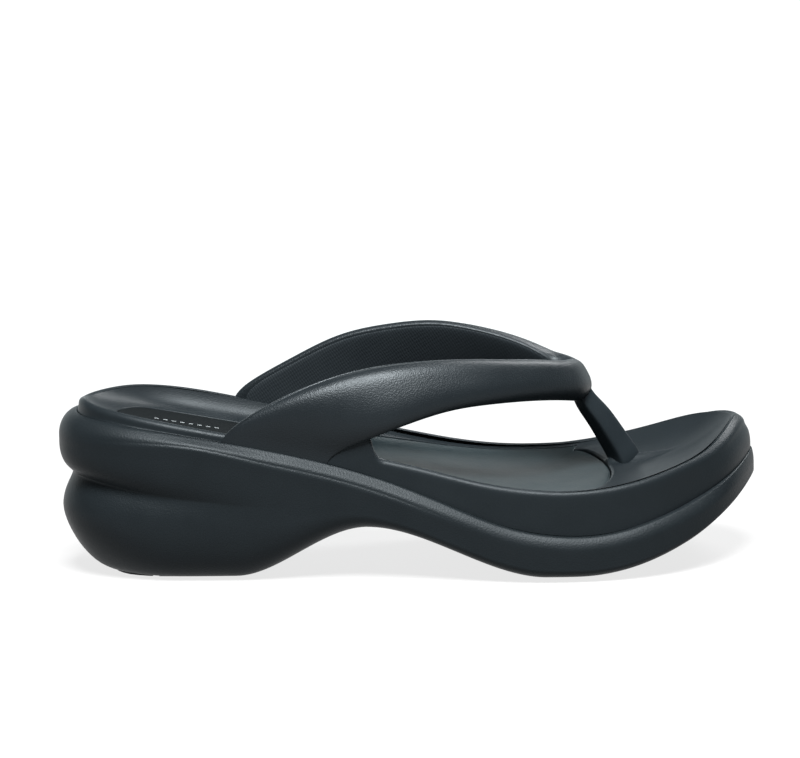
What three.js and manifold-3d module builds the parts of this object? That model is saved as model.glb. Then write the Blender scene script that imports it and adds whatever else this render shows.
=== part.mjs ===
// A moulded foam wedge flip flop for the right foot, in millimetres, +Z up, toe towards +X, big toe side +Y.
//
// The sole is two foam mouldings glued along one seam: the wedge below, with the two rolls round its heel
// and a bead along its top edge, and the footbed tray above, with the dished foot surface. An insole lies in
// the tray's recess and two rubber treads lie in recesses of the wedge. Two padded strap bands come up out
// of slots in the seam, cross the instep and meet over the toe post. The post runs through the tray and is
// held under it by a washer and its own button foot. Each band has a lining on its inner face.
//
// Everything is modelled with the back of the heel at x = 0, and the finished group is then moved so that
// its origin is on the ground under the middle of the object.
import * as THREE from "three";
import { mergeVertices } from "three/addons/utils/BufferGeometryUtils.js";
import Module from "manifold-3d";

const wasm = await Module();
wasm.setup();

// ---- Driving dimensions ----
const SOLE_LENGTH = 262;
const SOLE_WIDTH = 94;
const CLEARANCE = 0.3; // between any two pieces that touch

const BEAD_HEIGHT = 5.3;
const BEAD_CREASE = 0.8; // depth of the fine groove under the bead
const LEDGE = 4.5; // how far the tray's wall stands back from the wedge's side
const HEEL_LEDGE = 7.2;
const TOE_LEDGE = 2.2;
const RIM_WIDTH = 3;
const RIM_ROUND = 1.8;
const RIM_BACK = 0.5; // how far the rim leans in from the foot of the tray's wall
const ARCH_HEIGHT = 18.3;
const TOE_SPRING = 25.5;

const INSOLE_THICK = 2.2;
const INSOLE_INSET = 12; // from the sole's side to the insole's edge, at the ball of the foot
const HEEL_SEAT_INSET = 17;
const INSOLE_NOSE = 12.5; // how far the insole's round front end reaches past the ball
const CREST_HEIGHT = 1.6;
const CREST_WIDTH = 10;
const RIDGE_HEIGHT = 2.2; // of the ridge between the first two toes
const RIDGE_LENGTH = 20;
const RIDGE_HALF_WIDTH = 4.5;

const TREAD_THICK = 3;
const TREAD_PROUD = 0.8;
const TREAD_INSET = 13;
const TREAD_GROOVE = 2.4;
const TREAD_GROOVE_DEPTH = 1;
const TREAD_PITCH = 9;

const BAND_END_GAP = 0.3; // between the two bands where they meet over the post
const BAND_ROOT_DEPTH = 6.5; // how far a band reaches below the seam
const LINING_THICK = 1.4;
const LINING_SHARE = 0.62; // of the band's width

const POST_SIDE = 11; // from the sole's middle line towards the big toe
const POST_FOOT_X = 0.82 * SOLE_LENGTH;
const STEM_RADIUS = 3.6;
const BUTTON_RADIUS = 6.5;
const BUTTON_THICK = 2.4;
const WASHER_RADIUS = 8.5;
const WASHER_THICK = 1.4;

// ---- How finely the round shapes are cut ----
const RING_POINTS = 56; // round the sole, even
const SECTION_POINTS = 16; // round a band or the post
const BAND_SECTIONS = 20;
const LINING_SECTIONS = 12;
const POST_SECTIONS = 12;
const DENSE = 1200;

// ---- Small mathematics ----
const mix = (a, b, t) => a + (b - a) * t;
const smooth = (t) => {
  const c = Math.min(1, Math.max(0, t));
  return c * c * (3 - 2 * c);
};

// A natural cubic spline through [at, value] pairs, straight beyond its ends.
function spline(points) {
  const x = points.map((p) => p[0]);
  const y = points.map((p) => p[1]);
  const n = points.length;
  const bend = new Array(n).fill(0);
  const upper = new Array(n).fill(0);
  const right = new Array(n).fill(0);
  for (let i = 1; i < n - 1; i++) {
    const before = x[i] - x[i - 1];
    const after = x[i + 1] - x[i];
    const pivot = 2 * (before + after) - before * upper[i - 1];
    const turn = (y[i + 1] - y[i]) / after - (y[i] - y[i - 1]) / before;
    upper[i] = after / pivot;
    right[i] = (6 * turn - before * right[i - 1]) / pivot;
  }
  for (let i = n - 2; i > 0; i--) bend[i] = right[i] - upper[i] * bend[i + 1];
  const slope = (i, end) => {
    const h = x[i + 1] - x[i];
    const own = end ? bend[i] + 2 * bend[i + 1] : -2 * bend[i] - bend[i + 1];
    return (y[i + 1] - y[i]) / h + (own * h) / 6;
  };
  return (t) => {
    if (t <= x[0]) return y[0] + slope(0, false) * (t - x[0]);
    if (t >= x[n - 1]) return y[n - 1] + slope(n - 2, true) * (t - x[n - 1]);
    let i = 0;
    while (t > x[i + 1]) i++;
    const h = x[i + 1] - x[i];
    const a = (x[i + 1] - t) / h;
    const b = (t - x[i]) / h;
    const curve = ((a ** 3 - a) * bend[i] + (b ** 3 - b) * bend[i + 1]) * h * h;
    return a * y[i] + b * y[i + 1] + curve / 6;
  };
}

// A spline whose stations are shares of the sole's length.
const along = (points) => {
  const curve = spline(points);
  return (x) => curve(x / SOLE_LENGTH);
};

// ---- The sole's outline ----
// Shares of the length and of the width, from the back of the heel along the little toe side to the tip,
// and back along the big toe side.
const OUTLINE = [
  [0, 0], [0.018, -0.19], [0.07, -0.31], [0.15, -0.37], [0.27, -0.392], [0.4, -0.405], [0.52, -0.447],
  [0.63, -0.494], [0.73, -0.51], [0.83, -0.464], [0.91, -0.345], [0.965, -0.185], [0.995, 0],
  [1, 0.11], [0.98, 0.26], [0.925, 0.388], [0.83, 0.468], [0.72, 0.49], [0.61, 0.467], [0.5, 0.415],
  [0.38, 0.372], [0.27, 0.362], [0.15, 0.358], [0.07, 0.3], [0.018, 0.18],
];
const TIP = 13; // the tip's place in the list
const WRAP = 4; // points repeated past each end, so that the closed curve has no kink

function closedCurve() {
  const n = OUTLINE.length;
  const points = [];
  for (let i = -WRAP; i <= n + WRAP; i++) points.push([i, OUTLINE[(i + n) % n]]);
  const x = spline(points.map(([i, p]) => [i, p[0] * SOLE_LENGTH]));
  const y = spline(points.map(([i, p]) => [i, p[1] * SOLE_WIDTH]));
  return (t) => new THREE.Vector2(x(t), y(t));
}

// Points at even steps from one place on the closed curve to another, each with its outward direction.
function evenly(curve, from, to, count) {
  const dense = [];
  const run = [0];
  for (let i = 0; i <= DENSE; i++) {
    dense.push(curve(mix(from, to, i / DENSE)));
    if (i > 0) run.push(run[i - 1] + dense[i].distanceTo(dense[i - 1]));
  }
  const found = [];
  for (let k = 0; k <= count; k++) {
    const want = (run[DENSE] * k) / count;
    let i = 0;
    while (i < DENSE - 1 && run[i + 1] < want) i++;
    const share = (want - run[i]) / (run[i + 1] - run[i]);
    const t = mix(from, to, (i + share) / DENSE);
    const step = curve(t + 0.01).sub(curve(t - 0.01)).normalize();
    const p = curve(t);
    found.push({ x: p.x, y: p.y, nx: step.y, ny: -step.x });
  }
  return found;
}

const HALF = RING_POINTS / 2;
const outlineCurve = closedCurve();
const LITTLE_TOE_SIDE = evenly(outlineCurve, 0, TIP, HALF);
const BIG_TOE_SIDE = evenly(outlineCurve, TIP, OUTLINE.length, HALF);
const OUTER = [...LITTLE_TOE_SIDE.slice(0, HALF), ...BIG_TOE_SIDE.slice(0, HALF)];

// The outline's y at a given x, on the little toe side (-1) or the big toe side (1).
function edgeY(x, side) {
  const points = side < 0 ? LITTLE_TOE_SIDE : [...BIG_TOE_SIDE].reverse();
  let i = 0;
  while (i < points.length - 2 && points[i + 1].x < x) i++;
  const share = (x - points[i].x) / (points[i + 1].x - points[i].x);
  return mix(points[i].y, points[i + 1].y, share);
}

// ---- Heights along the sole ----
const seamZ = along([
  [0, 60.5], [0.055, 59.4], [0.14, 56.6], [0.245, 52], [0.35, 45.4], [0.46, 36.7], [0.56, 26.3],
  [0.63, 19.4], [0.7, 15.8], [0.77, 15.6], [0.86, 20.7], [0.945, 29.4], [1, 37.8],
]);
const littleToeRimZ = along([
  [0.03, 64.5], [0.07, 63.1], [0.14, 60.2], [0.245, 55.1], [0.35, 50.3], [0.46, 45], [0.53, 40.8],
  [0.6, 36.4], [0.66, 34.1], [0.72, 33.2], [0.78, 33.9], [0.84, 36.1], [0.9, 39.7], [0.95, 44.2], [0.985, 49.7],
]);
const bigToeRimZ = along([
  [0.03, 64.5], [0.08, 65], [0.13, 64.2], [0.19, 62], [0.25, 58.8], [0.35, 52.7], [0.49, 43.8],
  [0.56, 39.3], [0.63, 36.3], [0.7, 35.5], [0.77, 36.6], [0.83, 39.3], [0.89, 43.5], [0.95, 48.5], [0.985, 50.8],
]);
const bedZ = along([
  [0.03, 62.9], [0.09, 59.6], [0.14, 56.9], [0.23, 52.2], [0.34, 46.1], [0.45, 40.7], [0.53, 36.6],
  [0.6, 33.2], [0.66, 31.4], [0.73, 30.7], [0.8, 32.4], [0.86, 34.9], [0.92, 39.2], [0.96, 43.1], [0.99, 46.7],
]);
const ARCH_START = 0.252;
const ARCH_PEAK = 0.439;
const ARCH_END = 0.69;
const ROCKER_START = 0.735;

// The underside: flat under the heel and the ball, arched between them, and rising to the toe.
function underZ(x) {
  const s = x / SOLE_LENGTH;
  const rise = smooth((s - ARCH_START) / (ARCH_PEAK - ARCH_START));
  const fall = smooth((s - ARCH_PEAK) / (ARCH_END - ARCH_PEAK));
  const rocker = Math.max(0, s - ROCKER_START) / (1 - ROCKER_START);
  return ARCH_HEIGHT * (rise - fall) + TOE_SPRING * rocker ** 2;
}

const heelShare = (x) => 1 - smooth(x / (0.17 * SOLE_LENGTH));
const toeShare = (x) => smooth((x / SOLE_LENGTH - 0.9) / 0.1);
const rollShare = (x) => 1 - smooth(x / (0.34 * SOLE_LENGTH));
const ledgeAt = (x) => LEDGE + (HEEL_LEDGE - LEDGE) * heelShare(x) + (TOE_LEDGE - LEDGE) * toeShare(x);

// ---- Rings round the sole ----
const SPINE_START = 0.115;
const SPINE_END = 0.735;

// The point on the sole's middle line that the ring point i is drawn in towards. Two points that face
// each other across the sole share it.
const SPINE = OUTER.map((p, i) => {
  const facing = OUTER[(RING_POINTS - i) % RING_POINTS];
  const share = (p.x + facing.x) / 2 / SOLE_LENGTH;
  return new THREE.Vector2(mix(SPINE_START, SPINE_END, share) * SOLE_LENGTH, 0);
});

// A point set in from the outline, square to it.
const setIn = (i, inset) => new THREE.Vector2(OUTER[i].x - OUTER[i].nx * inset, OUTER[i].y - OUTER[i].ny * inset);

// One closed ring: place(i) gives the plan point, height(point, i) its height.
function ring(place, height) {
  return OUTER.map((_, i) => {
    const p = place(i);
    return new THREE.Vector3(p.x, p.y, height(p, i));
  });
}

// The closed surface through rings of equal length, listed from the top middle round to the bottom middle.
// Its first and last ring lie on the middle line, where facing points fall together.
function skin(rings) {
  const count = rings[0].length;
  const corners = [];
  for (let k = 0; k + 1 < rings.length; k++) {
    for (let i = 0; i < count; i++) {
      const j = (i + 1) % count;
      corners.push(...quad(rings[k][i], rings[k + 1][i], rings[k + 1][j], rings[k][j]));
    }
  }
  return surface(corners);
}

// Two triangles for a four sided face, split along its shorter diagonal.
function quad(a, b, c, d) {
  return a.distanceTo(c) < b.distanceTo(d) ? [a, b, c, a, c, d] : [a, b, d, b, c, d];
}

// A geometry from the corners of its triangles, without the triangles that have no area.
function surface(corners) {
  const kept = [];
  for (let i = 0; i < corners.length; i += 3) {
    const [a, b, c] = corners.slice(i, i + 3);
    const area = new THREE.Vector3().crossVectors(b.clone().sub(a), c.clone().sub(a)).length();
    if (area > 1e-7) kept.push(a, b, c);
  }
  return new THREE.BufferGeometry().setFromPoints(kept);
}

// ---- Solids for cutting and joining ----
function solid(geometry) {
  const bare = geometry.clone();
  bare.deleteAttribute("normal");
  bare.deleteAttribute("uv");
  const merged = mergeVertices(bare, 1e-4);
  const triVerts = new Uint32Array(merged.index.array);
  const vertProperties = merged.attributes.position.array;
  return new wasm.Manifold(new wasm.Mesh({ numProp: 3, vertProperties, triVerts }));
}

function geometryOf(made) {
  const mesh = made.getMesh();
  const positions = new Float32Array(mesh.numVert * 3);
  for (let i = 0; i < mesh.numVert; i++) {
    positions.set(mesh.vertProperties.subarray(i * mesh.numProp, i * mesh.numProp + 3), i * 3);
  }
  return new THREE.BufferGeometry()
    .setAttribute("position", new THREE.BufferAttribute(positions, 3))
    .setIndex(new THREE.BufferAttribute(mesh.triVerts, 1));
}

// ---- The wedge ----
// Insets of the heel's profile below the bead, against the share of the way down: first from the bead to
// the groove between the rolls, then from the groove to the ground. The second column is at the back of the
// heel, the third along the sides.
const UPPER_ROLL = [[0.3, 0], [0.56, 0.6], [0.78, 2], [0.92, 4], [1, 5]];
const LOWER_ROLL = [
  [0.1, 2.2, 0], [0.3, 0.8, 0], [0.5, 1.8, 0.3], [0.68, 4.6, 1.3], [0.83, 8.8, 3.2], [0.94, 14.2, 6], [1, 20, 9],
];
const GROOVE_SHARE = [0.32, 0.375]; // of the way down from the bead to the ground, at the back and the sides
const SEAT_DIP = 8; // how far the seam sinks under the heel seat
const JOINT_RINGS = [0, 0.45, 0.8];

// The joint between the tray and the wedge at share f of the way out along ray i.
function jointPoint(i, f) {
  const corner = setIn(i, ledgeAt(OUTER[i].x));
  return new THREE.Vector2(mix(SPINE[i].x, corner.x, f), mix(SPINE[i].y, corner.y, f));
}
function jointHeight(p, f) {
  const dip = SEAT_DIP * (1 - smooth((p.x / SOLE_LENGTH - 0.22) / 0.3));
  return seamZ(p.x) - dip * (1 - f ** 3);
}

function wedgeBody() {
  const rings = JOINT_RINGS.map((f) => ring((i) => jointPoint(i, f), (p) => jointHeight(p, f)));
  const wallRing = (insetAt, heightAt) => {
    rings.push(ring((i) => setIn(i, insetAt(OUTER[i].x)), (_, i) => heightAt(OUTER[i].x)));
  };
  const cornerZ = (x) => seamZ(x);
  const beadZ = (x) => cornerZ(x) - BEAD_HEIGHT;
  const footZ = (x) => underZ(x) + TREAD_PROUD;
  const [backShare, sideShare] = GROOVE_SHARE;
  const grooveZ = (x) => mix(beadZ(x), footZ(x), mix(sideShare, backShare, heelShare(x)));
  const creaseShare = (x) => smooth((x / SOLE_LENGTH - 0.07) / 0.1);
  rings.push(ring((i) => jointPoint(i, 1), (p) => jointHeight(p, 1)));
  wallRing((x) => 0.52 * ledgeAt(x), (x) => cornerZ(x) - 0.08 * BEAD_HEIGHT);
  wallRing((x) => 0.2 * ledgeAt(x), (x) => cornerZ(x) - 0.36 * BEAD_HEIGHT);
  wallRing((x) => 0.02 * ledgeAt(x), (x) => cornerZ(x) - 0.8 * BEAD_HEIGHT);
  wallRing((x) => BEAD_CREASE * creaseShare(x), beadZ);
  wallRing(() => 0.05, (x) => mix(beadZ(x), grooveZ(x), 0.08));
  for (const [share, back] of UPPER_ROLL) {
    wallRing((x) => back * rollShare(x), (x) => mix(beadZ(x), grooveZ(x), share));
  }
  for (const [share, back, side] of LOWER_ROLL) {
    const roll = share < 0.4 ? rollShare : heelShare;
    wallRing((x) => mix(side, back, roll(x)), (x) => mix(grooveZ(x), footZ(x), share));
  }
  const [, backInset, sideInset] = LOWER_ROLL[LOWER_ROLL.length - 1];
  const soleEdge = (i) => setIn(i, mix(sideInset, backInset, heelShare(OUTER[i].x)));
  for (const f of [0.6, 0]) {
    rings.push(ring((i) => SPINE[i].clone().lerp(soleEdge(i), f), (p) => footZ(p.x)));
  }
  return skin(rings);
}

// ---- The footbed ----
const insoleInset = (x) => mix(HEEL_SEAT_INSET, INSOLE_INSET, smooth((x / SOLE_LENGTH - 0.2) / 0.3));
const rimInset = (x) => ledgeAt(x) + RIM_BACK + (LEDGE - TOE_LEDGE) * toeShare(x);
const bigToeShare = (y) => smooth(0.5 + y / (0.26 * SOLE_WIDTH));
const rimZ = (i) => mix(littleToeRimZ(OUTER[i].x), bigToeRimZ(OUTER[i].x), bigToeShare(OUTER[i].y));
const BALL_X = 0.744 * SOLE_LENGTH;
const BALL_MIDDLE = (edgeY(BALL_X, -1) + edgeY(BALL_X, 1)) / 2;
const BALL_HALF_WIDTH = (edgeY(BALL_X, 1) - edgeY(BALL_X, -1)) / 2 - INSOLE_INSET;

// The share of the way out along ray i at which the rim's inner edge and the insole's edge lie.
const RIM_AT = OUTER.map((p, i) => {
  const reach = Math.hypot(p.x - SPINE[i].x, p.y);
  return 1 - (rimInset(p.x) + RIM_WIDTH) / reach;
});
const INSOLE_AT = OUTER.map((p, i) => {
  const reach = Math.hypot(p.x - SPINE[i].x, p.y);
  const side = 1 - insoleInset(p.x) / reach;
  const [sx, dx] = [(SPINE[i].x - BALL_X) / INSOLE_NOSE, (p.x - SPINE[i].x) / INSOLE_NOSE];
  const [sy, dy] = [-BALL_MIDDLE / BALL_HALF_WIDTH, p.y / BALL_HALF_WIDTH];
  const a = dx * dx + dy * dy;
  const b = sx * dx + sy * dy;
  const c = sx * sx + sy * sy - 1;
  const nose = (-b + Math.sqrt(Math.max(0, b * b - a * c))) / a;
  return sx + nose * dx > 0 ? Math.min(side, nose) : side;
});
const onRay = (i, f) => new THREE.Vector2(mix(SPINE[i].x, OUTER[i].x, f), mix(SPINE[i].y, OUTER[i].y, f));

// The foot surface: flat in the middle, and rising in a wall to the rim.
function bedHeight(i, f) {
  const x = onRay(i, f).x;
  const share = f / RIM_AT[i];
  const steep = mix(5, 11, smooth((x / SOLE_LENGTH - 0.25) / 0.35));
  const wall = rimZ(i) - 0.4 - bedZ(onRay(i, RIM_AT[i]).x);
  return bedZ(x) + wall * share ** steep;
}

// The crest in front of the insole and the ridge between the first two toes.
function toeRelief(i, f) {
  const p = onRay(i, f);
  const reach = Math.hypot(OUTER[i].x - SPINE[i].x, OUTER[i].y);
  const front = smooth((onRay(i, INSOLE_AT[i]).x - BALL_X) / (0.5 * INSOLE_NOSE));
  const inward = 1 - smooth((f / RIM_AT[i] - 0.8) / 0.2);
  const crest = CREST_HEIGHT * (1 - smooth(((f - INSOLE_AT[i]) * reach) / CREST_WIDTH));
  const run = (p.x - POST_FOOT_X) / RIDGE_LENGTH;
  const across = (p.y - POST_SIDE) / (RIDGE_HALF_WIDTH * mix(1, 0.3, smooth(run)));
  const ridge = RIDGE_HEIGHT * (1 - smooth(run)) * Math.exp(-across * across) * smooth(run + 1);
  return front * inward * (crest + ridge);
}

const TOE_RINGS = [0, 0.06, 0.18, 0.34, 0.52, 0.7, 0.84, 0.93];

function trayBody() {
  const floor = (share) => (i) => onRay(i, share * INSOLE_AT[i]);
  const drop = INSOLE_THICK;
  const rings = [0, 0.6, 1].map((share) =>
    ring(floor(share), (_, i) => bedHeight(i, share * INSOLE_AT[i]) - drop),
  );
  for (const share of TOE_RINGS) {
    const at = (i) => mix(INSOLE_AT[i], RIM_AT[i], share);
    rings.push(ring((i) => onRay(i, at(i)), (_, i) => bedHeight(i, at(i)) + toeRelief(i, at(i))));
  }
  const wallRing = (insetAt, heightAt) => {
    rings.push(ring((i) => setIn(i, insetAt(OUTER[i].x)), (_, i) => heightAt(i)));
  };
  wallRing((x) => rimInset(x) + 0.62 * RIM_WIDTH, (i) => rimZ(i));
  wallRing((x) => rimInset(x) + 0.25 * RIM_WIDTH, (i) => rimZ(i) - 0.35 * RIM_ROUND);
  wallRing((x) => rimInset(x), (i) => rimZ(i) - RIM_ROUND);
  const foot = (i) => seamZ(jointPoint(i, 1).x) + CLEARANCE;
  wallRing((x) => mix(rimInset(x), ledgeAt(x), 0.35), (i) => mix(rimZ(i) - RIM_ROUND, foot(i), 0.5));
  rings.push(ring((i) => jointPoint(i, 1), (_, i) => foot(i)));
  for (const f of [...JOINT_RINGS].reverse()) {
    rings.push(ring((i) => jointPoint(i, f), (p) => jointHeight(p, f) + CLEARANCE));
  }
  return skin(rings);
}

function insoleBody() {
  const edge = (i) => {
    const reach = Math.hypot(OUTER[i].x - SPINE[i].x, OUTER[i].y);
    return INSOLE_AT[i] - CLEARANCE / reach;
  };
  const level = (share, drop) =>
    ring((i) => onRay(i, share * edge(i)), (_, i) => bedHeight(i, share * edge(i)) - drop);
  const under = INSOLE_THICK - CLEARANCE;
  return skin([
    level(0, 0), level(0.35, 0), level(0.65, 0), level(0.86, 0), level(0.98, 0),
    level(1, 0.4), level(1, under), level(0.6, under), level(0, under),
  ]);
}

// ---- The treads ----
// A rubber pad that follows the underside between two stations, with round ends. It is flat where the
// underside is, so it has a station where each flat begins or ends.
const HEEL_TREAD = [0.075, 0.235];
const BALL_TREAD = [0.62, 0.915];
const TREAD_STATIONS = 16;
const TREAD_BLUNTNESS = 3.2;
const TREAD_END = 0.985; // where along its half length the pad is cut square

function treadBody([from, to], grow) {
  const [start, end] = [from * SOLE_LENGTH - grow, to * SOLE_LENGTH + grow];
  const [middle, half] = [(start + end) / 2, (end - start) / 2];
  const stations = [];
  for (let k = 0; k <= TREAD_STATIONS; k++) {
    stations.push(middle - half * TREAD_END * Math.cos((Math.PI * k) / TREAD_STATIONS));
  }
  for (const share of [ARCH_END, ROCKER_START]) {
    const x = share * SOLE_LENGTH;
    if (x > start && x < end) stations.push(x);
  }
  stations.sort((a, b) => a - b);
  const low = grow > 0 ? -1 : 0;
  const sections = stations.map((x) => {
    const roundness = (1 - Math.abs((x - middle) / half) ** TREAD_BLUNTNESS) ** (1 / TREAD_BLUNTNESS);
    const [near, far] = [-1, 1].map((side) => (edgeY(x, side) - side * (TREAD_INSET - grow)) * roundness);
    const z = underZ(x);
    const corner = (y, lift) => new THREE.Vector3(x, y, z + lift);
    const top = TREAD_THICK + grow;
    return [corner(near, top), corner(far, top), corner(far, low), corner(near, low)];
  });
  return tube(sections);
}

// Cross grooves at an even pitch, none of them under the middle of the pad.
function treadGrooves([from, to]) {
  const middle = ((from + to) / 2) * SOLE_LENGTH;
  const count = Math.floor(((to - from) * SOLE_LENGTH) / 2 / TREAD_PITCH - 0.5);
  const grooves = [];
  for (let k = -count; k < count; k++) {
    const x = middle + (k + 0.5) * TREAD_PITCH;
    const tall = TREAD_GROOVE_DEPTH * 2;
    const cutter = new THREE.BoxGeometry(TREAD_GROOVE, SOLE_WIDTH, tall);
    const lean = Math.atan2(underZ(x + 1) - underZ(x - 1), 2);
    cutter.rotateY(-lean);
    cutter.translate(x, 0, underZ(x));
    grooves.push(solid(cutter));
  }
  return grooves;
}

function tread(span) {
  return treadGrooves(span).reduce((pad, groove) => pad.subtract(groove), solid(treadBody(span, 0)));
}

// ---- The strap bands ----
// Each row is one place along the band: its upper rear edge and its lower front edge, each as the share of
// the sole's length, the share of the way from the toe post out to the tray's wall, and the height.
const LITTLE_TOE_BAND = [
  [[0.242, 1, 45.7], [0.382, 1, 36.9]],
  [[0.247, 1, 54.7], [0.39, 1, 45.2]],
  [[0.28, 1, 62.1], [0.418, 1, 49.7]],
  [[0.342, 0.95, 70.3], [0.455, 1, 53.7]],
  [[0.418, 0.84, 76.4], [0.497, 0.955, 57.7]],
  [[0.492, 0.715, 78.8], [0.557, 0.81, 61.6]],
  [[0.568, 0.56, 78.8], [0.615, 0.65, 62.7]],
  [[0.637, 0.405, 77.3], [0.672, 0.46, 62]],
  [[0.69, 0.235, 75.4], [0.72, 0.275, 60.3]],
  [[0.716, 0.1, 74.1], [0.747, 0.13, 58.6]],
  [[0.724, 0, 73.5], [0.758, 0, 57.9]],
];
const BIG_TOE_BAND = [
  [[0.242, 1, 45.7], [0.39, 1, 36.8]],
  [[0.247, 1, 57.3], [0.398, 1, 44.8]],
  [[0.279, 1, 65.3], [0.424, 1, 50]],
  [[0.337, 0.99, 73.5], [0.458, 1, 54.4]],
  [[0.405, 0.9, 81.6], [0.498, 0.94, 59.2]],
  [[0.477, 0.72, 85.7], [0.553, 0.76, 63.5]],
  [[0.546, 0.52, 87], [0.607, 0.58, 65.6]],
  [[0.614, 0.34, 84.3], [0.66, 0.41, 65.3]],
  [[0.672, 0.19, 79.6], [0.708, 0.25, 62.6]],
  [[0.711, 0.08, 75.4], [0.744, 0.11, 59.6]],
  [[0.724, 0, 73.5], [0.758, 0, 57.9]],
];
// Half thicknesses along a band, outwards and towards the foot, and the fullness of its section.
const BAND_OUT = spline([[0, 0.5], [0.12, 0.6], [0.28, 3.4], [0.5, 5], [0.8, 5.4], [1, 6.6]]);
const BAND_IN = spline([[0, 3.6], [0.12, 3.8], [0.3, 3.8], [0.6, 3.4], [1, 3]]);
const BAND_FULLNESS = 2.4;

// The two edges of a band as curves over 0 to 1. side is -1 towards the little toe and 1 towards the big toe.
function bandRails(rows, side) {
  const step = 1 / (rows.length - 1);
  const end = POST_SIDE + (side * BAND_END_GAP) / 2;
  const rail = (which) => {
    const points = rows.map((row) => {
      const [share, out, z] = row[which];
      const x = share * SOLE_LENGTH;
      const wall = edgeY(x, side) - side * ledgeAt(x);
      return [x, mix(end, wall, out), z];
    });
    const [x, y, z] = [0, 1, 2].map((axis) => spline(points.map((p, k) => [k * step, p[axis]])));
    return (t) => new THREE.Vector3(x(t), y(t), z(t));
  };
  return [rail(0), rail(1)];
}

// Where a band's section is at t, and its two directions: edge from middle to upper edge, out away from the foot.
function bandFrame(rows, side, t) {
  const [upper, lower] = bandRails(rows, side);
  const [u, l] = [upper(t), lower(t)];
  const middle = u.clone().add(l).multiplyScalar(0.5);
  const edge = u.clone().sub(l).multiplyScalar(0.5);
  const [before, after] = [Math.max(0, t - 0.01), Math.min(1, t + 0.01)];
  const ahead = upper(after).add(lower(after)).sub(upper(before)).sub(lower(before)).normalize();
  ahead.lerp(new THREE.Vector3(0, -side, 0), smooth((t - 0.86) / 0.14)).normalize();
  const out = new THREE.Vector3().crossVectors(ahead, edge).multiplyScalar(-side).normalize();
  return { middle, edge, out };
}

// A tube through sections: each is a list of points round it, and both ends are closed with a fan.
function tube(sections) {
  const count = sections[0].length;
  const corners = [];
  for (let k = 0; k + 1 < sections.length; k++) {
    for (let i = 0; i < count; i++) {
      const j = (i + 1) % count;
      corners.push(...quad(sections[k][i], sections[k + 1][i], sections[k + 1][j], sections[k][j]));
    }
  }
  const first = sections[0];
  const last = sections[sections.length - 1];
  for (let i = 1; i + 1 < count; i++) {
    corners.push(first[0], first[i], first[i + 1]);
    corners.push(last[0], last[i + 1], last[i]);
  }
  return surface(corners);
}

// A section's point at an angle: a rounded D, bulging by outBulge away from the foot and inBulge towards it.
function bandPoint({ middle, edge, out }, angle, outBulge, inBulge, fullness) {
  const [c, s] = [Math.cos(angle), Math.sin(angle)];
  const a = Math.sign(c) * Math.abs(c) ** (2 / fullness);
  const b = Math.sign(s) * Math.abs(s) ** (2 / fullness);
  const bulge = b > 0 ? outBulge : inBulge;
  return middle.clone().addScaledVector(edge, a).addScaledVector(out, b * bulge);
}

function bandBody(rows, side, grow) {
  const sections = [];
  for (let k = 0; k <= BAND_SECTIONS; k++) {
    const t = k / BAND_SECTIONS;
    const frame = bandFrame(rows, side, t);
    frame.edge.multiplyScalar(1 + grow / frame.edge.length());
    const section = [];
    for (let i = 0; i < SECTION_POINTS; i++) {
      const angle = (2 * Math.PI * i) / SECTION_POINTS;
      const p = bandPoint(frame, angle, BAND_OUT(t) + grow, BAND_IN(t) + grow, BAND_FULLNESS);
      if (k === 0) p.z -= grow;
      section.push(p);
    }
    sections.push(side < 0 ? section.reverse() : section);
  }
  return tube(sections);
}

// The lining: a thin pad on the inner face, sunk half its thickness into the band.
const LINING_SPAN = [0.27, 0.9];

function liningBody(rows, side, grow) {
  const sections = [];
  for (let k = 0; k <= LINING_SECTIONS; k++) {
    const share = k / LINING_SECTIONS;
    const t = mix(LINING_SPAN[0], LINING_SPAN[1], share);
    const frame = bandFrame(rows, side, t);
    const taper = Math.sqrt(Math.max(0.08, 1 - (2 * share - 1) ** 8));
    const depth = (a) => BAND_IN(t) * (1 - Math.abs(a) ** BAND_FULLNESS) ** (1 / BAND_FULLNESS);
    const across = [-1, -0.6, -0.2, 0.2, 0.6, 1].map((a) => a * LINING_SHARE * taper);
    const grown = grow / frame.edge.length();
    const at = (a, lift) =>
      frame.middle
        .clone()
        .addScaledVector(frame.edge, a + Math.sign(a) * grown)
        .addScaledVector(frame.out, -(depth(a) + lift));
    const outer = across.map((a) => at(a, LINING_THICK / 2 + grow));
    const inner = across.map((a) => at(a, -LINING_THICK / 2 - grow)).reverse();
    const section = [...outer, ...inner];
    sections.push(side < 0 ? section.reverse() : section);
  }
  if (grow > 0) {
    const push = (from, to) => from.map((p, i) => p.clone().addScaledVector(p.clone().sub(to[i]).normalize(), grow));
    sections.unshift(push(sections[0], sections[1]));
    sections.push(push(sections[sections.length - 1], sections[sections.length - 2]));
  }
  return tube(sections);
}

// ---- The toe post ----
// Points down the middle of the post: the way forward of its foot as a share of the sole's length, the way
// past its side and the height, with the half depth fore and aft and the half width across.
const POST_PATH = [
  [-0.074, 0, 67.3, 2, 2.4], [-0.068, 0, 62.7, 2.6, 2.8], [-0.063, 0, 57.7, 3.1, 3.6],
  [-0.046, 0.3, 51.6, 3.7, 4.2], [-0.028, 0.7, 45.1, 4.2, 4.5], [-0.012, 1, 39, 5, 4.8], [-0.003, 1, 33.9, 5.4, 5],
];
const POST_FULLNESS = 2.7;

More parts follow.
